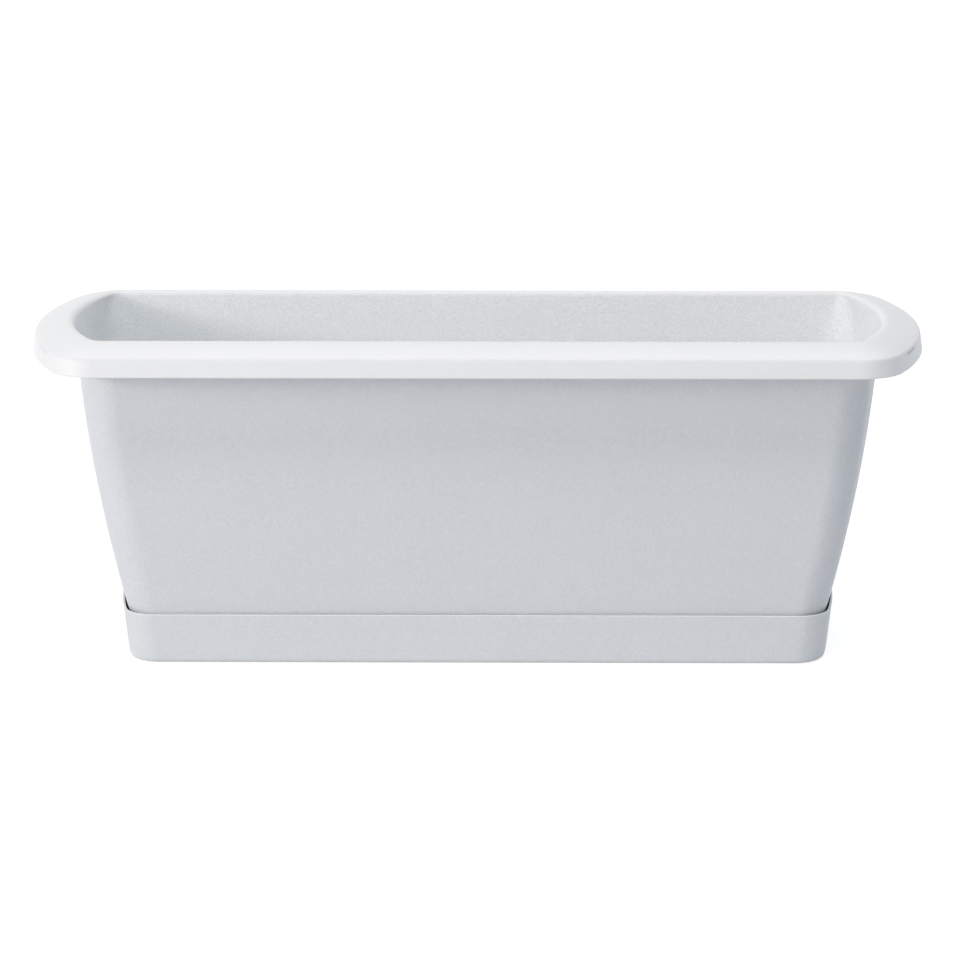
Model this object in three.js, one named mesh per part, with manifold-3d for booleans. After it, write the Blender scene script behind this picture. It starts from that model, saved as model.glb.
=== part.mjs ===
// Balcony planter: a moulded trough with a wide rim, standing in a close-fitting drip tray.
// Millimetres, +Z up, X along the trough, -Y towards the front.
// The origin is on the floor, under the middle of the tray.
import * as THREE from 'three';
import { mergeVertices } from 'three/addons/utils/BufferGeometryUtils.js';
import Module from 'manifold-3d';

const wasm = await Module();
wasm.setup();

// Driving dimensions of the whole planter
const overallHeight = 184;
const rimLength = 491;
const rimDepth = 184;
const wall = 2;

// Rim: the top bulges a little and slopes down from the crown round the opening to a soft edge, and a
// skirt hangs from it
const rimEndRadius = 188.5;
const rimCornerRadius = 26;
const rimWidthAtSides = 24;
const rimWidthAtEnds = 19;
const rimFall = 5.4;
const rimBulge = 0.6;
const rimSheet = 2;
const rimEdgeRun = 1.6;
const skirtHeight = 10;
const skirtFlare = 1.4;
const crownRounding = 2.4;
const openingEndRadius = 138;
const openingCornerRadius = 11;

// Trough: walls taper in towards the floor, and bulge a little on the way down
const shoulderAtEnds = 4;
const shoulderAtSides = 0.5;
const troughEndRadius = 221;
const troughTopCorner = 20.5;
const troughBaseCorner = 17;
const endTaper = 29.5;
const endBulge = 4.1;
const sideTaper = 10;
const sideBulge = 1.2;
const troughEdgeRadius = 5;

// Hollow feet pressed down out of the trough's floor, and drain holes between them
const footHeight = 8;
const footLength = 30;
const footWidth = 14;
const footColumns = 4;
const footMargin = 2;
const footEndInset = 35;
const drainDiameter = 8;
const drainColumns = 5;
const drainEndInset = 35;
const drainRowSpacing = 44;

// Drip tray
const trayHeight = 28.6;
const trayWall = 1.3;
const trayFloor = 1.6;
const trayTopGapAtEnds = 0.4;
const trayTopGapAtSides = 1.5;
const trayBaseGapAtEnds = 3.5;
const trayBaseGapAtSides = 0.9;
const trayEndRadius = 267;
const trayCornerRadius = 17.3;
const trayEdgeRadius = 3;
const seatGap = 0.3;

// Steps along each curved stretch
const endSteps = 5;
const cornerSteps = 8;
const wallSteps = 8;
const edgeSteps = 4;
const softEdgeSteps = 4;
const rimTopSteps = 4;
const footSteps = 8;
const holeSteps = 24;

// Heights
const troughBase = trayFloor + seatGap + footHeight;
const skirtTop = overallHeight - rimFall;
const skirtBottom = skirtTop - skirtHeight;

// A plan is a level outline: x and y are its half length and half depth, end is the radius of its
// bowed ends, and corner is the radius of its corners. Its long sides are straight.
const lerp = THREE.MathUtils.lerp;

const grow = (plan, by) => ({
  x: plan.x + by,
  y: plan.y + by,
  end: plan.end + by,
  corner: plan.corner + by,
});

const mix = (from, to, share) => ({
  x: lerp(from.x, to.x, share),
  y: lerp(from.y, to.y, share),
  end: lerp(from.end, to.end, share),
  corner: lerp(from.corner, to.corner, share),
});

// The plan's points, counter-clockwise from the middle of the right-hand end
function planPoints(plan) {
  const bowCentre = plan.x - plan.end;
  const reach = plan.end - plan.corner;
  const cornerY = plan.y - plan.corner;
  const cornerX = bowCentre + Math.sqrt(reach * reach - cornerY * cornerY);
  const bowAngle = Math.asin(cornerY / reach);
  const quarter = [];
  for (let i = 0; i < endSteps; i++) {
    const angle = (bowAngle * i) / endSteps;
    quarter.push([bowCentre + plan.end * Math.cos(angle), plan.end * Math.sin(angle)]);
  }
  for (let i = 0; i <= cornerSteps; i++) {
    const angle = lerp(bowAngle, Math.PI / 2, i / cornerSteps);
    quarter.push([cornerX + plan.corner * Math.cos(angle), cornerY + plan.corner * Math.sin(angle)]);
  }
  const rest = quarter.slice(1);
  return [
    ...quarter,
    ...quarter.map(([x, y]) => [-x, y]).reverse(),
    ...rest.map(([x, y]) => [-x, -y]),
    ...rest.map(([x, y]) => [x, -y]).reverse(),
  ];
}

// A closed body through a row of rings, each a plan at a height, with a flat cap on the first and last
function loft(rings) {
  const outlines = rings.map(({ plan, z }) => planPoints(plan).map(([x, y]) => [x, y, z]));
  const count = outlines[0].length;
  const positions = outlines.flat(2);
  const index = [];
  for (let ring = 0; ring < rings.length - 1; ring++) {
    for (let i = 0; i < count; i++) {
      const next = (i + 1) % count;
      const here = ring * count;
      const above = here + count;
      index.push(here + i, here + next, above + next);
      index.push(here + i, above + next, above + i);
    }
  }
  const firstMiddle = positions.length / 3;
  const lastMiddle = firstMiddle + 1;
  const lastRing = (rings.length - 1) * count;
  positions.push(0, 0, rings[0].z, 0, 0, rings.at(-1).z);
  for (let i = 0; i < count; i++) {
    const next = (i + 1) % count;
    index.push(firstMiddle, next, i);
    index.push(lastMiddle, lastRing + i, lastRing + next);
  }
  const geometry = new THREE.BufferGeometry();
  geometry.setAttribute('position', new THREE.Float32BufferAttribute(positions, 3));
  geometry.setIndex(index);
  return geometry;
}

// Joins and cuts
function toSolid(geometry) {
  const bare = geometry.clone();
  bare.deleteAttribute('normal');
  bare.deleteAttribute('uv');
  const merged = mergeVertices(bare, 1e-4);
  const vertProperties = Float32Array.from(merged.attributes.position.array);
  const triVerts = Uint32Array.from(merged.index.array);
  return new wasm.Manifold(new wasm.Mesh({ numProp: 3, vertProperties, triVerts }));
}

function toGeometry(solid) {
  const mesh = solid.getMesh();
  const geometry = new THREE.BufferGeometry();
  geometry.setAttribute('position', new THREE.BufferAttribute(mesh.vertProperties, 3));
  geometry.setIndex(new THREE.BufferAttribute(mesh.triVerts, 1));
  geometry.computeVertexNormals();
  return geometry;
}

// Rim plans, from the skirt's lower edge in to the opening
const skirtBottomPlan = { x: rimLength / 2, y: rimDepth / 2, end: rimEndRadius, corner: rimCornerRadius };
const skirtPlan = (z) => grow(skirtBottomPlan, (-skirtFlare * (z - skirtBottom)) / skirtHeight);
const rimEdgePlan = skirtPlan(skirtTop);
const openingPlan = {
  x: rimEdgePlan.x - rimWidthAtEnds,
  y: rimEdgePlan.y - rimWidthAtSides,
  end: openingEndRadius,
  corner: openingCornerRadius,
};

// Outside of the trough's wall at a height, from its floor up into the neck under the crown
const troughTopPlan = {
  x: openingPlan.x - shoulderAtEnds,
  y: openingPlan.y - shoulderAtSides,
  end: troughEndRadius,
  corner: troughTopCorner,
};
const neckTop = overallHeight - crownRounding;
const neckTopPlan = grow(openingPlan, wall - crownRounding);

function troughPlan(z) {
  if (z > skirtBottom) {
    return mix(troughTopPlan, neckTopPlan, (z - skirtBottom) / (neckTop - skirtBottom));
  }
  const drop = (skirtBottom - z) / (skirtBottom - troughBase);
  const belly = 4 * drop * (1 - drop);
  return {
    x: troughTopPlan.x - endTaper * drop + endBulge * belly,
    y: troughTopPlan.y - sideTaper * drop + sideBulge * belly,
    end: troughEndRadius,
    corner: lerp(troughTopCorner, troughBaseCorner, drop),
  };
}

// Rings round the rounded lower edge of a wall, from the flat floor out to the wall
function edgeRings(planAt, floor, radius) {
  const rings = [];
  for (let i = 0; i <= edgeSteps; i++) {
    const angle = (Math.PI / 2) * (i / edgeSteps);
    const z = floor + radius * (1 - Math.cos(angle));
    rings.push({ plan: grow(planAt(z), -radius * (1 - Math.sin(angle))), z });
  }
  return rings;
}

function wallRings(planAt, from, to, steps) {
  const rings = [];
  for (let i = 1; i <= steps; i++) {
    const z = lerp(from, to, i / steps);
    rings.push({ plan: planAt(z), z });
  }
  return rings;
}

// Height of the rim's top at a share of its width, from the opening at 0 to its outer edge at 1
const rimTop = (share) => overallHeight - rimFall * share + rimBulge * 4 * share * (1 - share);

// A ring at a distance out from the rim's upper edge, negative towards the opening
function rimRing(out, z) {
  const inward = Math.max(-out, 0) / rimWidthAtSides;
  return { plan: mix(grow(rimEdgePlan, Math.max(out, 0)), openingPlan, inward), z };
}

// Rings round the soft edge between the skirt and the rim's top
function softEdgeRings() {
  const skirtSlope = skirtFlare / skirtHeight;
  const skirtEnd = new THREE.Vector2(rimEdgeRun * skirtSlope, skirtTop - rimEdgeRun);
  const topEnd = new THREE.Vector2(-rimEdgeRun, rimTop(1 - rimEdgeRun / rimWidthAtSides));
  const curve = new THREE.QuadraticBezierCurve(skirtEnd, new THREE.Vector2(0, skirtTop), topEnd);
  return curve.getPoints(softEdgeSteps).map(({ x, y }) => rimRing(x, y));
}

// Rings across the rim from a distance inside its edge towards the opening, at a depth below the top
function rimTopRings(fromEdge, depth) {
  const rings = [];
  for (let i = 0; i < rimTopSteps; i++) {
    const share = (1 - fromEdge / rimWidthAtSides) * (1 - i / rimTopSteps);
    rings.push(rimRing((share - 1) * rimWidthAtSides, rimTop(share) - depth));
  }
  return rings;
}

// The rim from the outside of the neck: underside, inside of the skirt, skirt, top, and crown
function rimRings() {
  const undersideAtNeck = overallHeight - rimSheet;
  const crown = [];
  for (let i = 0; i <= edgeSteps; i++) {
    const angle = (Math.PI / 2) * (i / edgeSteps);
    const plan = grow(openingPlan, -crownRounding * Math.sin(angle));
    crown.push({ plan, z: neckTop + crownRounding * Math.cos(angle) });
  }
  return [
    { plan: troughPlan(undersideAtNeck), z: undersideAtNeck },
    ...rimTopRings(rimSheet, rimSheet).reverse(),
    { plan: grow(skirtBottomPlan, -rimSheet), z: skirtBottom },
    { plan: skirtBottomPlan, z: skirtBottom },
    ...softEdgeRings(),
    ...rimTopRings(rimEdgeRun, 0).slice(1),
    ...crown,
  ];
}

// A round-ended upright block, standing on z = 0
function roundEndedBlock(length, width, height) {
  const half = (length - width) / 2;
  const radius = width / 2;
  const shape = new THREE.Shape();
  shape.absarc(half, 0, radius, -Math.PI / 2, Math.PI / 2, false);
  shape.absarc(-half, 0, radius, Math.PI / 2, (Math.PI * 3) / 2, false);
  return new THREE.ExtrudeGeometry(shape, { depth: height, bevelEnabled: false, curveSegments: footSteps });
}

// Centres of two mirrored rows, spread evenly along the trough's floor between its inset ends
function twoRows(columns, endInset, rowY) {
  const reach = troughPlan(troughBase).x - endInset;
  const places = [];
  for (let i = 0; i < columns; i++) {
    const x = lerp(-reach, reach, i / (columns - 1));
    places.push([x, -rowY], [x, rowY]);
  }
  return places;
}

function planterBoxGeometry() {
  const innerPlan = (z) => grow(troughPlan(z), -wall);
  const floorTop = troughBase + wall;
  const innerEdge = troughEdgeRadius - wall;
  const footRowY = troughPlan(troughBase).y - troughEdgeRadius - footMargin - footWidth / 2;
  const feet = twoRows(footColumns, footEndInset, footRowY);
  const drains = twoRows(drainColumns, drainEndInset, drainRowSpacing / 2);
  const outside = [
    ...edgeRings(troughPlan, troughBase, troughEdgeRadius),
    ...wallRings(troughPlan, troughBase + troughEdgeRadius, skirtBottom, wallSteps),
  ];
  const inside = [
    ...edgeRings(innerPlan, floorTop, innerEdge),
    ...wallRings(innerPlan, floorTop + innerEdge, skirtBottom, wallSteps),
  ];
  let body = toSolid(loft([...outside, ...rimRings(), ...inside.reverse()]));
  for (const [x, y] of feet) {
    const intoFloor = wall / 2;
    const foot = roundEndedBlock(footLength, footWidth, footHeight + intoFloor);
    foot.translate(x, y, troughBase - footHeight);
    body = body.add(toSolid(foot));
    const pocket = roundEndedBlock(footLength - 2 * wall, footWidth - 2 * wall, footHeight + wall);
    pocket.translate(x, y, troughBase - footHeight + wall);
    body = body.subtract(toSolid(pocket));
  }
  for (const [x, y] of drains) {
    const cutLength = 3 * wall;
    const drain = new THREE.CylinderGeometry(drainDiameter / 2, drainDiameter / 2, cutLength, holeSteps);
    drain.rotateX(Math.PI / 2);
    drain.translate(x, y, troughBase + wall / 2);
    body = body.subtract(toSolid(drain));
  }
  return toGeometry(body);
}

function dripTrayGeometry() {
  const clearOfTrough = (z, endGap, sideGap) => ({
    x: troughPlan(z).x + endGap + trayWall,
    y: troughPlan(z).y + sideGap + trayWall,
    end: trayEndRadius,
    corner: trayCornerRadius,
  });
  const basePlan = clearOfTrough(troughBase, trayBaseGapAtEnds, trayBaseGapAtSides);
  const topPlan = clearOfTrough(trayHeight, trayTopGapAtEnds, trayTopGapAtSides);
  const outerPlan = (z) => mix(basePlan, topPlan, (z - troughBase) / (trayHeight - troughBase));
  const innerPlan = (z) => grow(outerPlan(z), -trayWall);
  const innerEdge = trayEdgeRadius - trayWall;
  const outside = [
    ...edgeRings(outerPlan, 0, trayEdgeRadius),
    { plan: outerPlan(trayHeight), z: trayHeight },
  ];
  const inside = [
    ...edgeRings(innerPlan, trayFloor, innerEdge),
    { plan: innerPlan(trayHeight), z: trayHeight },
  ];
  return loft([...outside, ...inside.reverse()]);
}

// Colours from the photograph: a cool off-white polypropylene, the same in both mouldings
function moulded(name, geometry, colour) {
  const material = new THREE.MeshStandardMaterial({ color: colour, roughness: 0.45, metalness: 0 });
  const mesh = new THREE.Mesh(geometry, material);
  mesh.name = name;
  return mesh;
}

const planter = new THREE.Group();
planter.add(moulded('planter_box', planterBoxGeometry(), 0xe4e7eb));
planter.add(moulded('drip_tray', dripTrayGeometry(), 0xdfe2e7));

export default planter;
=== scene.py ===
# Balcony planter: the looks of the trough and its drip tray, in metres, in the part's frame.
import math
from collections import namedtuple

import bmesh
import bpy
from mathutils import Matrix, Vector
from mathutils.geometry import delaunay_2d_cdt


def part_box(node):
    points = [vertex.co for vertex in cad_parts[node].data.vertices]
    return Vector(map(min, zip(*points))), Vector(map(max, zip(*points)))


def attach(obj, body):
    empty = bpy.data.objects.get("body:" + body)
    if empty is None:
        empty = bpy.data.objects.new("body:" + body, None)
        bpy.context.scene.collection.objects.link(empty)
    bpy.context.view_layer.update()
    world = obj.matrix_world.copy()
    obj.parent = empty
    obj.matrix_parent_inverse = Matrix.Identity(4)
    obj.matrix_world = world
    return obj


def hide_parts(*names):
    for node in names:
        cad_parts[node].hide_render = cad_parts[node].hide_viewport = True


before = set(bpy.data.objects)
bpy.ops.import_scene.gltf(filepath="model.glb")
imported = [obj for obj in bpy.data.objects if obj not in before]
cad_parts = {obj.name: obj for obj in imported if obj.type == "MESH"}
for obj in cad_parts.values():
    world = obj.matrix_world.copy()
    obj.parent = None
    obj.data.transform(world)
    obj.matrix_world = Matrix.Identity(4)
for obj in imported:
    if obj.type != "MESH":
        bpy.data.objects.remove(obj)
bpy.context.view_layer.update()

MM = 0.001

# Driving dimensions of the planter
box_low, box_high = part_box("planter_box")
OVERALL_HEIGHT = box_high.z
RIM_LENGTH = box_high.x - box_low.x
RIM_DEPTH = box_high.y - box_low.y
WALL = 2 * MM

# Rim: widths and the height that its top falls are taken from the opening to the upper edge of its skirt
RIM_END_RADIUS = 188.5 * MM
RIM_CORNER_RADIUS = 26 * MM
RIM_WIDTH_AT_SIDES = 24 * MM
RIM_WIDTH_AT_ENDS = 19 * MM
RIM_FALL = 5.4 * MM
RIM_BULGE = 0.6 * MM
RIM_SHEET = 2 * MM
RIM_EDGE_RUN = 1.6 * MM
SKIRT_HEIGHT = 10 * MM
SKIRT_FLARE = 1.4 * MM
SKIRT_EDGE_RADIUS = 0.9 * MM
CROWN_ROUNDING = 2.4 * MM
OPENING_END_RADIUS = 138 * MM
OPENING_CORNER_RADIUS = 11 * MM
# The crown starts this far out from the opening, and ends inside it this far below the top
CROWN_RUN = 3 * MM
CROWN_DROP = 2.8 * MM
# Depth below the top at which the crown is as smooth as the rim
CROWN_SMOOTH_DEPTH = 0.7 * MM
NECK_FILLET = 2 * MM

# Trough
SHOULDER_AT_ENDS = 4 * MM
SHOULDER_AT_SIDES = 0.5 * MM
TROUGH_END_RADIUS = 221 * MM
TROUGH_TOP_CORNER = 20.5 * MM
TROUGH_BASE_CORNER = 17 * MM
END_TAPER = 29.5 * MM
END_BULGE = 4.1 * MM
SIDE_TAPER = 10 * MM
SIDE_BULGE = 1.2 * MM
TROUGH_EDGE_RADIUS = 5 * MM

# Feet and drain holes
FOOT_HEIGHT = 8 * MM
FOOT_LENGTH = 30 * MM
FOOT_WIDTH = 14 * MM
FOOT_COLUMNS = 4
FOOT_MARGIN = 2 * MM
FOOT_END_INSET = 35 * MM
FOOT_FILLET = 1 * MM
DRAIN_RADIUS = 4 * MM
DRAIN_COLUMNS = 5
DRAIN_END_INSET = 35 * MM
DRAIN_ROW_SPACING = 44 * MM

# Drip tray
TRAY_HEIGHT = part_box("drip_tray")[1].z
TRAY_WALL = 1.3 * MM
TRAY_FLOOR = 1.6 * MM
TRAY_TOP_GAP_AT_ENDS = 0.4 * MM
TRAY_TOP_GAP_AT_SIDES = 1.5 * MM
TRAY_BASE_GAP_AT_ENDS = 3.5 * MM
TRAY_BASE_GAP_AT_SIDES = 0.9 * MM
TRAY_END_RADIUS = 267 * MM
TRAY_CORNER_RADIUS = 17.3 * MM
TRAY_EDGE_RADIUS = 3 * MM
TRAY_LIP_RADIUS = 0.5 * MM

# Steps along each curved stretch
END_STEPS = 14
CORNER_STEPS = 18
WALL_STEPS = 24
EDGE_STEPS = 8
SOFT_EDGE_STEPS = 10
RIM_TOP_STEPS = 8
SMALL_EDGE_STEPS = 3
FOOT_STEPS = 16
DRAIN_STEPS = 32

# Heights
TROUGH_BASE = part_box("planter_box")[0].z + FOOT_HEIGHT
SKIRT_TOP = OVERALL_HEIGHT - RIM_FALL
SKIRT_BOTTOM = SKIRT_TOP - SKIRT_HEIGHT
NECK_TOP = OVERALL_HEIGHT - CROWN_ROUNDING
SKIRT_SLOPE = SKIRT_FLARE / SKIRT_HEIGHT

# A plan is a level outline: half length, half depth, radius of the bowed ends, radius of the corners
Plan = namedtuple("Plan", "x y end corner")


def lerp(start, end, share):
    return start + (end - start) * share


def grow(plan, by):
    return Plan(*(value + by for value in plan))


def mix(start, end, share):
    return Plan(*(lerp(a, b, share) for a, b in zip(start, end)))


def bulge(share):
    """0 at both ends of a stretch, 1 in its middle."""
    return 4 * share * (1 - share)


def plan_points(plan):
    """The plan's points, counter-clockwise from the middle of the right-hand end."""
    bow_centre = plan.x - plan.end
    reach = plan.end - plan.corner
    corner_y = plan.y - plan.corner
    corner_x = bow_centre + math.sqrt(reach * reach - corner_y * corner_y)
    bow_angle = math.asin(corner_y / reach)
    quarter = []
    for i in range(END_STEPS):
        angle = bow_angle * i / END_STEPS
        quarter.append((bow_centre + plan.end * math.cos(angle), plan.end * math.sin(angle)))
    for i in range(CORNER_STEPS + 1):
        angle = lerp(bow_angle, math.pi / 2, i / CORNER_STEPS)
        x = corner_x + plan.corner * math.cos(angle)
        y = corner_y + plan.corner * math.sin(angle)
        quarter.append((x, y))
    rest = quarter[1:]
    return (
        quarter
        + [(-x, y) for x, y in reversed(quarter)]
        + [(-x, -y) for x, y in rest]
        + [(x, -y) for x, y in reversed(rest)]
    )


def bend(start, corner, end, steps):
    """Points of a quadratic curve from start to end, drawn towards corner."""
    points = []
    for i in range(steps + 1):
        t = i / steps
        near, mid, far = (1 - t) ** 2, 2 * t * (1 - t), t * t
        points.append(tuple(near * a + mid * b + far * c for a, b, c in zip(start, corner, end)))
    return points


# Plans at given heights
SKIRT_BOTTOM_PLAN = Plan(RIM_LENGTH / 2, RIM_DEPTH / 2, RIM_END_RADIUS, RIM_CORNER_RADIUS)


def skirt_plan(z):
    return grow(SKIRT_BOTTOM_PLAN, -SKIRT_SLOPE * (z - SKIRT_BOTTOM))


RIM_EDGE_PLAN = skirt_plan(SKIRT_TOP)
OPENING_PLAN = Plan(
    RIM_EDGE_PLAN.x - RIM_WIDTH_AT_ENDS,
    RIM_EDGE_PLAN.y - RIM_WIDTH_AT_SIDES,
    OPENING_END_RADIUS,
    OPENING_CORNER_RADIUS,
)
TROUGH_TOP_PLAN = Plan(
    OPENING_PLAN.x - SHOULDER_AT_ENDS,
    OPENING_PLAN.y - SHOULDER_AT_SIDES,
    TROUGH_END_RADIUS,
    TROUGH_TOP_CORNER,
)
NECK_TOP_PLAN = grow(OPENING_PLAN, WALL - CROWN_ROUNDING)


def trough_plan(z):
    """Outside of the trough's wall, from its floor up into the neck under the crown."""
    if z > SKIRT_BOTTOM:
        return mix(TROUGH_TOP_PLAN, NECK_TOP_PLAN, (z - SKIRT_BOTTOM) / (NECK_TOP - SKIRT_BOTTOM))
    drop = (SKIRT_BOTTOM - z) / (SKIRT_BOTTOM - TROUGH_BASE)
    belly = bulge(drop)
    return Plan(
        TROUGH_TOP_PLAN.x - END_TAPER * drop + END_BULGE * belly,
        TROUGH_TOP_PLAN.y - SIDE_TAPER * drop + SIDE_BULGE * belly,
        TROUGH_END_RADIUS,
        lerp(TROUGH_TOP_CORNER, TROUGH_BASE_CORNER, drop),
    )


def trough_inside_plan(z):
    return grow(trough_plan(z), -WALL)


def tray_plan(z):
    """Outside of the tray's wall, which clears the trough by the named gaps."""
    base, top = trough_plan(TROUGH_BASE), trough_plan(TRAY_HEIGHT)
    base_plan = Plan(
        base.x + TRAY_BASE_GAP_AT_ENDS + TRAY_WALL,
        base.y + TRAY_BASE_GAP_AT_SIDES + TRAY_WALL,
        TRAY_END_RADIUS,
        TRAY_CORNER_RADIUS,
    )
    top_plan = Plan(
        top.x + TRAY_TOP_GAP_AT_ENDS + TRAY_WALL,
        top.y + TRAY_TOP_GAP_AT_SIDES + TRAY_WALL,
        TRAY_END_RADIUS,
        TRAY_CORNER_RADIUS,
    )
    return mix(base_plan, top_plan, (z - TROUGH_BASE) / (TRAY_HEIGHT - TROUGH_BASE))


def tray_inside_plan(z):
    return grow(tray_plan(z), -TRAY_WALL)


# Rings: a plan at a height
def edge_rings(plan_at, floor, radius):
    """Round the lower edge of a wall, from the flat floor out to the wall."""
    rings = []
    for i in range(EDGE_STEPS + 1):
        angle = math.pi / 2 * i / EDGE_STEPS
        z = floor + radius * (1 - math.cos(angle))
        rings.append((grow(plan_at(z), -radius * (1 - math.sin(angle))), z))
    return rings


def wall_rings(plan_at, low, high, steps):
    heights = [lerp(low, high, i / steps) for i in range(1, steps + 1)]
    return [(plan_at(z), z) for z in heights]


def rim_top(share):
    """Height of the rim's gently bulging top, from the opening at 0 to its outer edge at 1."""
    return OVERALL_HEIGHT - RIM_FALL * share + RIM_BULGE * bulge(share)


def rim_top_slope(share):
    """How fast the rim's top falls there, as a height over the rim's whole width."""
    return RIM_FALL - RIM_BULGE * 4 * (1 - 2 * share)


def rim_ring(x, z):
    """A ring at a distance out from the rim's upper edge, negative towards the opening."""
    edge = grow(RIM_EDGE_PLAN, max(x, 0))
    return mix(edge, OPENING_PLAN, max(-x, 0) / RIM_WIDTH_AT_SIDES), z


def soft_edge_rings():
    """The soft edge between the skirt and the rim's top."""
    skirt_end = (RIM_EDGE_RUN * SKIRT_SLOPE, SKIRT_TOP - RIM_EDGE_RUN)
    top_end = (-RIM_EDGE_RUN, rim_top(1 - RIM_EDGE_RUN / RIM_WIDTH_AT_SIDES))
    return [rim_ring(x, z) for x, z in bend(skirt_end, (0, SKIRT_TOP), top_end, SOFT_EDGE_STEPS)]


def rim_top_rings(from_edge, to_opening, depth):
    """Across the rim, between distances from its edge and from the opening, at a depth below the top."""
    rings = []
    for i in range(RIM_TOP_STEPS):
        outward = lerp(RIM_WIDTH_AT_SIDES - from_edge, to_opening, i / RIM_TOP_STEPS)
        z = rim_top(outward / RIM_WIDTH_AT_SIDES) - depth
        rings.append(rim_ring(outward - RIM_WIDTH_AT_SIDES, z))
    return rings


def skirt_lower_edge_rings():
    """From the inside of the skirt round its rounded lower edge to the outside."""
    r = SKIRT_EDGE_RADIUS
    inner = bend((-RIM_SHEET, r), (-RIM_SHEET, 0), (r - RIM_SHEET, 0), SMALL_EDGE_STEPS)
    outer = bend((-r, 0), (0, 0), (0, r), SMALL_EDGE_STEPS)
    return [(grow(skirt_plan(SKIRT_BOTTOM + z), x), SKIRT_BOTTOM + z) for x, z in inner + outer]


def neck_fillet_rings():
    """From the neck's wall out to the rim's underside."""
    top = OVERALL_HEIGHT - RIM_SHEET
    drop = top + RIM_SHEET - rim_top(NECK_FILLET / RIM_WIDTH_AT_SIDES)
    points = bend((0, -NECK_FILLET), (0, 0), (NECK_FILLET, -drop), SMALL_EDGE_STEPS)
    return [(grow(trough_plan(top), x), top + z) for x, z in points]


def crown_rings():
    """From the rim's top over the crown round the opening, down to the inside of the neck."""
    share = CROWN_RUN / RIM_WIDTH_AT_SIDES
    peak = rim_top(share) + rim_top_slope(share) * (CROWN_RUN + CROWN_ROUNDING) / RIM_WIDTH_AT_SIDES
    foot = OVERALL_HEIGHT - CROWN_DROP
    start_plan, start = rim_ring(CROWN_RUN - RIM_WIDTH_AT_SIDES, rim_top(share))
    corner = (*trough_inside_plan(peak), peak)
    end = (*trough_inside_plan(foot), foot)
    points = bend((*start_plan, start), corner, end, EDGE_STEPS)
    return [(Plan(*plan), z) for *plan, z in points]


def trough_rings():
    inner_edge = TROUGH_EDGE_RADIUS - WALL
    floor_top = TROUGH_BASE + WALL
    outside = edge_rings(trough_plan, TROUGH_BASE, TROUGH_EDGE_RADIUS)
    outside += wall_rings(trough_plan, TROUGH_BASE + TROUGH_EDGE_RADIUS, SKIRT_BOTTOM, WALL_STEPS)
    inside = edge_rings(trough_inside_plan, floor_top, inner_edge)
    inside += wall_rings(trough_inside_plan, floor_top + inner_edge, SKIRT_BOTTOM, WALL_STEPS)
    rim = neck_fillet_rings() + rim_top_rings(RIM_SHEET, 0, RIM_SHEET)[::-1]
    rim += skirt_lower_edge_rings() + soft_edge_rings()
    rim += rim_top_rings(RIM_EDGE_RUN, CROWN_RUN, 0)[1:] + crown_rings()
    return outside + rim + inside[::-1]


def tray_rings():
    r = TRAY_LIP_RADIUS
    outside = edge_rings(tray_plan, 0, TRAY_EDGE_RADIUS)
    inside = edge_rings(tray_inside_plan, TRAY_FLOOR, TRAY_EDGE_RADIUS - TRAY_WALL)
    outer_lip = bend((0, -r), (0, 0), (-r, 0), SMALL_EDGE_STEPS)
    inner_lip = bend((r - TRAY_WALL, 0), (-TRAY_WALL, 0), (-TRAY_WALL, -r), SMALL_EDGE_STEPS)
    lip = [(grow(tray_plan(TRAY_HEIGHT), x), TRAY_HEIGHT + z) for x, z in outer_lip + inner_lip]
    return outside + lip + inside[::-1]


# Mesh making. A floor's faces leave its holes open, and points within the merge distance count as one.
OMIT_HOLES = 5
MERGE_DISTANCE = 1e-7


def add_loop(bm, points, z):
    return [bm.verts.new((x, y, z)) for x, y in points]


def bridge(bm, low, high):
    """Quads between two loops of as many points, facing out when low and high run counter-clockwise."""
    count = len(low)
    for i in range(count):
        j = (i + 1) % count
        bm.faces.new((low[i], low[j], high[j], high[i]))


def bridge_all(bm, loops):
    for low, high in zip(loops, loops[1:]):
        bridge(bm, low, high)


def flat_floor(bm, outline, holes, facing_up):
    """A level face inside one loop, left open inside the holes."""
    loops = [outline] + holes
    verts = [v for loop in loops for v in loop]
    edges = []
    start = 0
    for loop in loops:
        count = len(loop)
        edges += [(start + i, start + (i + 1) % count) for i in range(count)]
        start += count
    points = [v.co.xy for v in verts]
    _, _, faces, source_verts, _, _ = delaunay_2d_cdt(points, edges, [], OMIT_HOLES, MERGE_DISTANCE)
    source = [verts[found[0]] for found in source_verts]
    for face in faces:
        corners = [source[i] for i in face]
        new_face = bm.faces.new(corners)
        new_face.normal_update()
        if (new_face.normal.z > 0) != facing_up:
            new_face.normal_flip()


def arc(centre, radius, start, turn, steps):
    angles = [start + turn * i / steps for i in range(steps + 1)]
    return [(centre[0] + radius * math.cos(a), centre[1] + radius * math.sin(a)) for a in angles]


def round_ended(length, width, centre):
    """A level outline with straight sides and half-round ends, counter-clockwise."""
    radius = width / 2
    half = length / 2 - radius
    right = arc((centre[0] + half, centre[1]), radius, -math.pi / 2, math.pi, FOOT_STEPS)
    left = arc((centre[0] - half, centre[1]), radius, math.pi / 2, math.pi, FOOT_STEPS)
    return right + left


def circle(radius, centre, steps):
    return arc(centre, radius, 0, 2 * math.pi, steps)[:-1]


def two_rows(columns, end_inset, row_y):
    """Centres of two mirrored rows, spread evenly along the trough's floor between its inset ends."""
    reach = trough_plan(TROUGH_BASE).x - end_inset
    xs = [lerp(-reach, reach, i / (columns - 1)) for i in range(columns)]
    return [(x, side * row_y) for x in xs for side in (-1, 1)]


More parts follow.
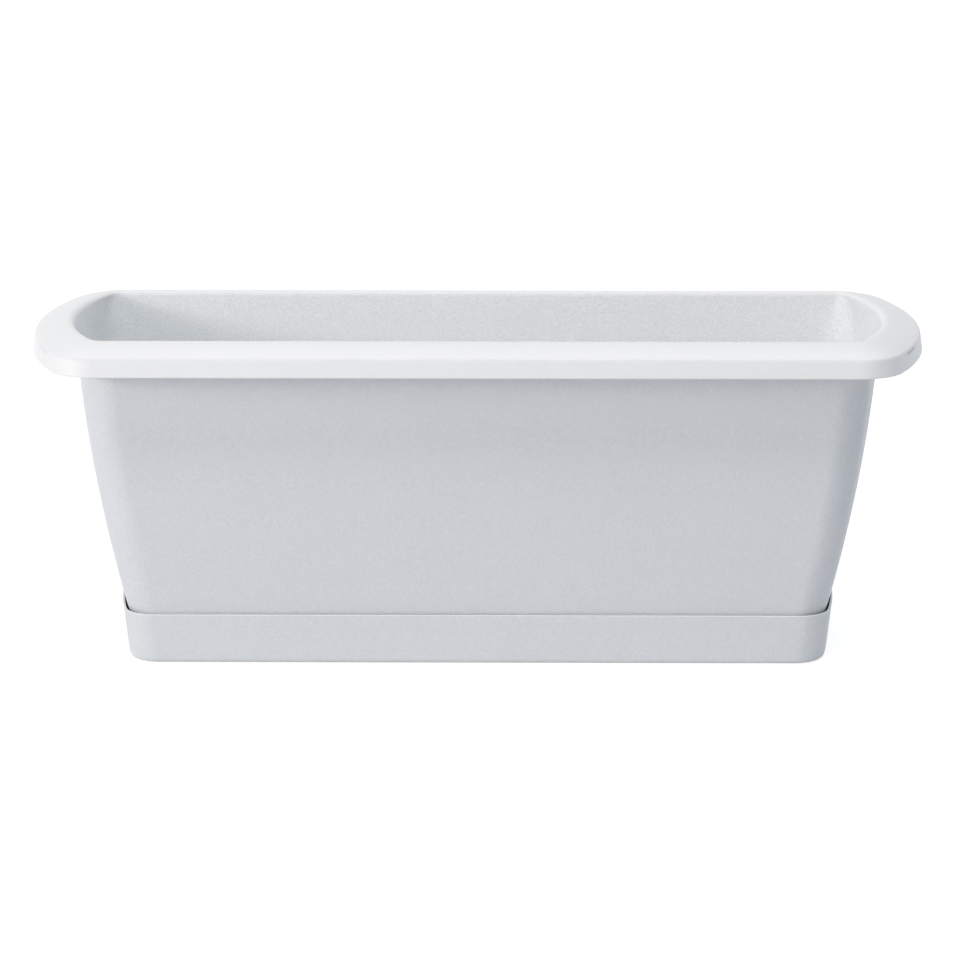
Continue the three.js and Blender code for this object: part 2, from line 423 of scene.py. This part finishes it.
def foot_loops(bm, centre, shrink, floor, bottom):
    """Loops down the side of a foot or its pocket, with rounded edges at both ends."""
    r = FOOT_FILLET
    down = bend((r, 0), (0, 0), (0, -r), SMALL_EDGE_STEPS)
    turn = bend((0, r), (0, 0), (-r, 0), SMALL_EDGE_STEPS)
    steps = [(x, floor + z) for x, z in down] + [(x, bottom + z) for x, z in turn]
    loops = []
    for x, z in steps:
        outline = round_ended(FOOT_LENGTH + 2 * (x - shrink), FOOT_WIDTH + 2 * (x - shrink), centre)
        loops.append(add_loop(bm, outline, z))
    return loops


def finish_mesh(bm, name):
    mesh = bpy.data.meshes.new(name)
    bm.to_mesh(mesh)
    bm.free()
    mesh.polygons.foreach_set("use_smooth", [True] * len(mesh.polygons))
    piece = bpy.data.objects.new(name, mesh)
    bpy.context.scene.collection.objects.link(piece)
    normals = piece.modifiers.new("face_weighted_normals", "WEIGHTED_NORMAL")
    normals.keep_sharp = False
    return piece


def make_trough():
    bm = bmesh.new()
    loops = [add_loop(bm, plan_points(plan), z) for plan, z in trough_rings()]
    bridge_all(bm, loops)
    floor_top = TROUGH_BASE + WALL
    foot_row_y = trough_plan(TROUGH_BASE).y - TROUGH_EDGE_RADIUS - FOOT_MARGIN - FOOT_WIDTH / 2
    under_holes, floor_holes = [], []
    for centre in two_rows(FOOT_COLUMNS, FOOT_END_INSET, foot_row_y):
        outside = foot_loops(bm, centre, 0, TROUGH_BASE, TROUGH_BASE - FOOT_HEIGHT)
        bridge_all(bm, outside[::-1])
        flat_floor(bm, outside[-1], [], False)
        under_holes.append(outside[0])
        pocket = foot_loops(bm, centre, WALL, floor_top, floor_top - FOOT_HEIGHT)
        bridge_all(bm, pocket)
        flat_floor(bm, pocket[-1], [], True)
        floor_holes.append(pocket[0])
    for centre in two_rows(DRAIN_COLUMNS, DRAIN_END_INSET, DRAIN_ROW_SPACING / 2):
        low = add_loop(bm, circle(DRAIN_RADIUS, centre, DRAIN_STEPS), TROUGH_BASE)
        high = add_loop(bm, circle(DRAIN_RADIUS, centre, DRAIN_STEPS), floor_top)
        bridge(bm, high, low)
        under_holes.append(low)
        floor_holes.append(high)
    flat_floor(bm, loops[0], under_holes, False)
    flat_floor(bm, loops[-1], floor_holes, True)
    return finish_mesh(bm, "trough_shell")


def make_tray():
    bm = bmesh.new()
    loops = [add_loop(bm, plan_points(plan), z) for plan, z in tray_rings()]
    bridge_all(bm, loops)
    flat_floor(bm, loops[0], [], False)
    flat_floor(bm, loops[-1], [], True)
    return finish_mesh(bm, "tray_shell")


# Materials
RIM_COLOUR = (0.83, 0.83, 0.83, 1)
# Painted light: the skirt is lighter than the rim's top, as it faces slightly up towards the lamps
SKIRT_PAINTED_LIGHT_COLOUR = (0.87, 0.87, 0.87, 1)
# Painted light: the inner walls and the floors that face up are lighter than the outside walls
INSIDE_PAINTED_LIGHT_COLOUR = (0.885, 0.9, 0.905, 1)
# Darker than the rim, partly for the walls' grain and partly as painted shade on walls that lean down
# under the rim
WALL_GRAIN_AND_SHADE_COLOUR = (0.727, 0.744, 0.768, 1)
TRAY_COLOUR = (0.755, 0.774, 0.792, 1)
PLASTIC_IOR = 1.49

# The mix node has its sockets once for each kind of data, and these are the places of the colours
COLOUR_INPUTS = (6, 7)
COLOUR_OUTPUT = 2

NOISE_MIDDLE = 0.5
GRAIN_SCALE = 720
GRAIN_DETAIL = 2
GRAIN_HEIGHT = 0.25 * MM
GRAIN_TONE = 0.17
GRAIN_ON_RIM = 0.35
GRAIN_INSIDE = 1.6

# A short crease under the rim's edge at each corner, with x and y taken as positive
CREASE_START = Vector((237, 51, 177.2)) * MM
CREASE_END = Vector((232.5, 65.5, 177)) * MM
CREASE_HALF_WIDTH = 0.45 * MM
CREASE_FADE = 0.5 * MM
CREASE_DEPTH = 0.25 * MM
# Painted shade in the crease, at the left-hand and at the right-hand end; the right-hand end faces away
# from the lamps and gets more
CREASE_PAINTED_SHADE = (0.05, 0.3)

# Share of the normal that is upright on a surface taken as a floor or an underside
STEEP = 0.5

TONE_SCALE = 14
TONE_DETAIL = 4
TONE_RANGE = (0.985, 1.015)

SHEEN_SCALE = 45
SHEEN_DETAIL = 3
GRAINED_ROUGHNESS = (0.42, 0.5)
SMOOTH_ROUGHNESS = (0.36, 0.42)


def node(tree, kind, **settings):
    made = tree.nodes.new(kind)
    for name, value in settings.items():
        setattr(made, name, value)
    return made


def feed(tree, socket, value):
    """Links a node's output into a socket, or sets the socket to a number or colour."""
    if isinstance(value, bpy.types.NodeSocket):
        tree.links.new(value, socket)
    else:
        socket.default_value = value


def maths(tree, operation, first, second=0.0):
    made = node(tree, "ShaderNodeMath", operation=operation)
    feed(tree, made.inputs[0], first)
    feed(tree, made.inputs[1], second)
    return made.outputs[0]


def noise(tree, place, scale, detail):
    made = node(tree, "ShaderNodeTexNoise")
    made.inputs["Scale"].default_value = scale
    made.inputs["Detail"].default_value = detail
    tree.links.new(place, made.inputs["Vector"])
    return made.outputs["Fac"]


def spread(tree, value, low, high):
    """Maps 0 to 1 onto low to high."""
    made = node(tree, "ShaderNodeMapRange")
    feed(tree, made.inputs["Value"], value)
    feed(tree, made.inputs["To Min"], low)
    feed(tree, made.inputs["To Max"], high)
    return made.outputs["Result"]


def vector_maths(tree, operation, first, second):
    made = node(tree, "ShaderNodeVectorMath", operation=operation)
    feed(tree, made.inputs[0], first)
    feed(tree, made.inputs[1], second)
    return made.outputs


def split(tree, vector):
    made = node(tree, "ShaderNodeSeparateXYZ")
    tree.links.new(vector, made.inputs[0])
    return made.outputs


def fade(tree, value, start, end):
    """Rises smoothly from 0 at start to 1 at end."""
    made = node(tree, "ShaderNodeMapRange", interpolation_type="SMOOTHSTEP")
    tree.links.new(value, made.inputs["Value"])
    made.inputs["From Min"].default_value = start
    made.inputs["From Max"].default_value = end
    return made.outputs["Result"]


def inside_mask(tree, place, normal, floor_top):
    """1 on the inner walls and on what faces up below the rim, 0 elsewhere."""
    height = split(tree, place)["Z"]
    rise = split(tree, normal)["Z"]
    level_place = vector_maths(tree, "MULTIPLY", place, (1, 1, 0))["Vector"]
    outward = vector_maths(tree, "DOT_PRODUCT", level_place, normal)["Value"]
    inward = maths(tree, "LESS_THAN", outward, 0.0)
    inward = maths(tree, "MULTIPLY", inward, maths(tree, "GREATER_THAN", rise, -STEEP))
    walls = maths(tree, "MULTIPLY", inward, maths(tree, "GREATER_THAN", height, floor_top))
    floors = maths(tree, "GREATER_THAN", rise, STEEP)
    floors = maths(tree, "MULTIPLY", floors, maths(tree, "LESS_THAN", height, SKIRT_BOTTOM))
    return maths(tree, "MAXIMUM", walls, floors)


def smooth_rim(tree, place, inside):
    """1 on the rim's top and skirt, 0 on the trough's walls, with a soft change inside the crown."""
    height = split(tree, place)["Z"]
    above_walls = maths(tree, "GREATER_THAN", height, SKIRT_BOTTOM - SKIRT_EDGE_RADIUS)
    overhang = maths(tree, "MULTIPLY", above_walls, maths(tree, "SUBTRACT", 1.0, inside))
    crown = fade(tree, height, OVERALL_HEIGHT - CROWN_DROP, OVERALL_HEIGHT - CROWN_SMOOTH_DEPTH)
    return maths(tree, "MAXIMUM", overhang, crown)


def crease(tree, place):
    """1 along the crease at each corner of the rim, 0 away from it."""
    run = CREASE_END - CREASE_START
    mirrored = vector_maths(tree, "ABSOLUTE", place, (0, 0, 0))["Vector"]
    offset = vector_maths(tree, "SUBTRACT", mirrored, CREASE_START)["Vector"]
    along = vector_maths(tree, "DOT_PRODUCT", offset, run / run.length_squared)["Value"]
    share = maths(tree, "MINIMUM", maths(tree, "MAXIMUM", along, 0.0), 1.0)
    nearest = node(tree, "ShaderNodeVectorMath", operation="SCALE")
    nearest.inputs[0].default_value = run
    tree.links.new(share, nearest.inputs["Scale"])
    away = vector_maths(tree, "DISTANCE", offset, nearest.outputs["Vector"])["Value"]
    outside = fade(tree, away, CREASE_HALF_WIDTH, CREASE_HALF_WIDTH + CREASE_FADE)
    return maths(tree, "SUBTRACT", 1.0, outside)


def blend_colours(tree, share, first, second):
    made = node(tree, "ShaderNodeMix", data_type="RGBA")
    feed(tree, made.inputs["Factor"], share)
    feed(tree, made.inputs[COLOUR_INPUTS[0]], first)
    feed(tree, made.inputs[COLOUR_INPUTS[1]], second)
    return made.outputs[COLOUR_OUTPUT]


def moulded_plastic(name, wall_colour, floor_top, has_rim):
    """Satin plastic with a fine grain and painted light inside, and on a piece with a rim, its smoother
    finish, painted light on the skirt and creases with painted shade.
    """
    material = bpy.data.materials.new(name)
    material.use_nodes = True
    tree = material.node_tree
    shader = tree.nodes["Principled BSDF"]
    shader.inputs["IOR"].default_value = PLASTIC_IOR
    coordinates = node(tree, "ShaderNodeTexCoord")
    place = coordinates.outputs["Object"]
    inside = inside_mask(tree, place, coordinates.outputs["Normal"], floor_top)
    # Painted light: inside and on floors that face up, the colour is lighter than on the outside walls
    colour = blend_colours(tree, inside, wall_colour, INSIDE_PAINTED_LIGHT_COLOUR)
    depth = spread(tree, inside, 1.0, GRAIN_INSIDE)
    rough_low, rough_high = GRAINED_ROUGHNESS
    if has_rim:
        smooth = smooth_rim(tree, place, inside)
        # Painted light: the skirt gets a lighter colour than the rim's top
        on_skirt = fade(tree, split(tree, place)["Z"], SKIRT_TOP, SKIRT_TOP - RIM_EDGE_RUN)
        rim_colour = blend_colours(tree, on_skirt, RIM_COLOUR, SKIRT_PAINTED_LIGHT_COLOUR)
        colour = blend_colours(tree, smooth, colour, rim_colour)
        depth = spread(tree, smooth, depth, GRAIN_ON_RIM)
        rough_low = spread(tree, smooth, rough_low, SMOOTH_ROUGHNESS[0])
        rough_high = spread(tree, smooth, rough_high, SMOOTH_ROUGHNESS[1])

    grain = maths(tree, "SUBTRACT", noise(tree, place, GRAIN_SCALE, GRAIN_DETAIL), NOISE_MIDDLE)
    relief = maths(tree, "MULTIPLY", grain, depth)
    tone = spread(tree, noise(tree, place, TONE_SCALE, TONE_DETAIL), *TONE_RANGE)
    tone = maths(tree, "ADD", tone, maths(tree, "MULTIPLY", relief, GRAIN_TONE))
    if has_rim:
        groove = crease(tree, place)
        cut = maths(tree, "MULTIPLY", groove, CREASE_DEPTH / GRAIN_HEIGHT)
        relief = maths(tree, "SUBTRACT", relief, cut)
        # Painted shade along the crease, darker at the right-hand end
        on_right = maths(tree, "GREATER_THAN", split(tree, place)["X"], 0.0)
        crease_shade = spread(tree, on_right, *CREASE_PAINTED_SHADE)
        tone = maths(tree, "SUBTRACT", tone, maths(tree, "MULTIPLY", groove, crease_shade))
    bump = node(tree, "ShaderNodeBump")
    bump.inputs["Distance"].default_value = GRAIN_HEIGHT
    tree.links.new(relief, bump.inputs["Height"])
    tree.links.new(bump.outputs["Normal"], shader.inputs["Normal"])

    toned = node(tree, "ShaderNodeHueSaturation")
    tree.links.new(colour, toned.inputs["Color"])
    tree.links.new(tone, toned.inputs["Value"])
    tree.links.new(toned.outputs["Color"], shader.inputs["Base Color"])

    sheen = noise(tree, place, SHEEN_SCALE, SHEEN_DETAIL)
    tree.links.new(spread(tree, sheen, rough_low, rough_high), shader.inputs["Roughness"])
    return material


# Studio. The camera's distance and angles are taken from its pivot, and it looks at its aim.
CAMERA_DISTANCE = 2.5
CAMERA_ELEVATION = math.radians(14.26)
CAMERA_AZIMUTH = math.radians(0.59)
CAMERA_PIVOT = Vector((0, 0, 0.082))
CAMERA_AIM = Vector((0.0013, 0, 0.09005))
CAMERA_ROLL = -0.0004
CAMERA_LENS = 167.8

# Height that the panels' angles and distances are taken from
LIGHT_CENTRE = 0.15
LIGHT_COLOUR = (1, 0.957, 0.913)
# Each panel: degrees left of the front, degrees up, distance, width, height, watts
PANELS = {
    "key": (66, 12, 2.4, 0.5, 0.35, 8.7),
    "key_front": (50, 12, 2.4, 0.8, 0.35, 7.4),
    "key_side": (78, 12, 2.4, 1, 0.35, 2.8),
    "fill_left": (25, 20, 2.6, 1, 1, 4),
    "fill_low": (0, 5, 2.6, 2.4, 0.5, 2.9),
    "fill_middle": (0, 40, 2.6, 2, 0.8, 2.1),
    "fill_high": (0, 65, 2.4, 2, 0.8, 19.7),
    "back_high": (180, 55, 2.26, 2, 1, 15.5),
}
AMBIENT_COLOUR = (0.743, 0.855, 1, 1)
AMBIENT_STRENGTH = 0.351
BACKGROUND_COLOUR = (1, 1, 1, 1)

FLOOR_SIZE = 12
FLOOR_COLOUR = (0.8, 0.8, 0.8, 1)
FLOOR_SHADOW_COLOUR = (0.35, 0.35, 0.35, 1)
# The floor's own glow as it is seen, as distance and strength
GLOW_NEAR = (0.3, 0.82)
GLOW_FAR = (1.2, 1)


def make_camera():
    data = bpy.data.cameras.new("camera")
    data.lens = CAMERA_LENS
    camera = bpy.data.objects.new("camera", data)
    bpy.context.scene.collection.objects.link(camera)
    level = CAMERA_DISTANCE * math.cos(CAMERA_ELEVATION)
    rise = CAMERA_DISTANCE * math.sin(CAMERA_ELEVATION)
    offset = Vector((level * math.sin(CAMERA_AZIMUTH), -level * math.cos(CAMERA_AZIMUTH), rise))
    camera.location = CAMERA_PIVOT + offset
    look = (CAMERA_AIM - camera.location).to_track_quat("-Z", "Y").to_matrix().to_4x4()
    roll = Matrix.Rotation(CAMERA_ROLL, 4, "Z")
    camera.matrix_world = Matrix.Translation(camera.location) @ look @ roll
    bpy.context.scene.camera = camera


def around(left, up, distance):
    """A place at so many degrees left of the front and above level, seen from the planter."""
    level = distance * math.cos(math.radians(up))
    bearing = math.radians(left)
    height = LIGHT_CENTRE + distance * math.sin(math.radians(up))
    return (-level * math.sin(bearing), -level * math.cos(bearing), height)


def make_panel(name, left, up, distance, width, height, watts):
    """A soft panel that faces the planter."""
    data = bpy.data.lights.new(name, "AREA")
    data.shape = "RECTANGLE"
    data.size = width
    data.size_y = height
    data.energy = watts
    data.color = LIGHT_COLOUR
    light = bpy.data.objects.new(name, data)
    place = around(left, up, distance)
    light.location = place
    light.rotation_euler = (CAMERA_AIM - Vector(place)).to_track_quat("-Z", "Y").to_euler()
    bpy.context.scene.collection.objects.link(light)


def seen_directly(tree):
    """1 where a camera, glossy or transmission ray looks straight at the background, else 0."""
    path = node(tree, "ShaderNodeLightPath").outputs
    glossy = maths(tree, "MAXIMUM", path["Is Glossy Ray"], path["Is Transmission Ray"])
    return maths(tree, "MAXIMUM", path["Is Camera Ray"], glossy)


def make_world():
    world = bpy.data.worlds.new("studio")
    world.use_nodes = True
    tree = world.node_tree
    ambient = tree.nodes["Background"]
    ambient.inputs["Color"].default_value = AMBIENT_COLOUR
    ambient.inputs["Strength"].default_value = AMBIENT_STRENGTH
    white = node(tree, "ShaderNodeBackground")
    white.inputs["Color"].default_value = BACKGROUND_COLOUR
    blend = node(tree, "ShaderNodeMixShader")
    tree.links.new(seen_directly(tree), blend.inputs[0])
    tree.links.new(ambient.outputs[0], blend.inputs[1])
    tree.links.new(white.outputs[0], blend.inputs[2])
    tree.links.new(blend.outputs[0], tree.nodes["World Output"].inputs["Surface"])
    bpy.context.scene.world = world


def make_floor():
    """A pale floor that looks white, and keeps a faint shadow round the planter."""
    bpy.ops.mesh.primitive_plane_add(size=FLOOR_SIZE)
    floor = bpy.context.object
    floor.name = "floor"
    material = bpy.data.materials.new("floor")
    material.use_nodes = True
    tree = material.node_tree
    tree.nodes.remove(tree.nodes["Principled BSDF"])
    plain = node(tree, "ShaderNodeBsdfDiffuse")
    plain.inputs["Color"].default_value = FLOOR_COLOUR
    shaded = node(tree, "ShaderNodeBsdfDiffuse")
    shaded.inputs["Color"].default_value = FLOOR_SHADOW_COLOUR
    distance = node(tree, "ShaderNodeVectorMath", operation="LENGTH")
    tree.links.new(node(tree, "ShaderNodeTexCoord").outputs["Object"], distance.inputs[0])
    glow_strength = node(tree, "ShaderNodeMapRange", interpolation_type="SMOOTHSTEP")
    tree.links.new(distance.outputs["Value"], glow_strength.inputs["Value"])
    glow_strength.inputs["From Min"].default_value = GLOW_NEAR[0]
    glow_strength.inputs["From Max"].default_value = GLOW_FAR[0]
    glow_strength.inputs["To Min"].default_value = GLOW_NEAR[1]
    glow_strength.inputs["To Max"].default_value = GLOW_FAR[1]
    glow = node(tree, "ShaderNodeEmission")
    tree.links.new(glow_strength.outputs["Result"], glow.inputs["Strength"])
    total = node(tree, "ShaderNodeAddShader")
    blend = node(tree, "ShaderNodeMixShader")
    tree.links.new(shaded.outputs[0], total.inputs[0])
    tree.links.new(glow.outputs[0], total.inputs[1])
    tree.links.new(seen_directly(tree), blend.inputs[0])
    tree.links.new(plain.outputs[0], blend.inputs[1])
    tree.links.new(total.outputs[0], blend.inputs[2])
    tree.links.new(blend.outputs[0], tree.nodes["Material Output"].inputs["Surface"])
    floor.data.materials.append(material)


make_camera()
make_world()
make_floor()
for panel, settings in PANELS.items():
    make_panel(panel, *settings)

trough = make_trough()
trough.data.materials.append(moulded_plastic("box_plastic_look", WALL_GRAIN_AND_SHADE_COLOUR, TROUGH_BASE + WALL, True))
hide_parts("planter_box")
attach(trough, "box")

tray = make_tray()
tray.data.materials.append(moulded_plastic("tray_plastic_look", TRAY_COLOUR, TRAY_FLOOR, False))
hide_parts("drip_tray")
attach(tray, "tray")

bpy.context.scene.view_settings.view_transform = "Standard"
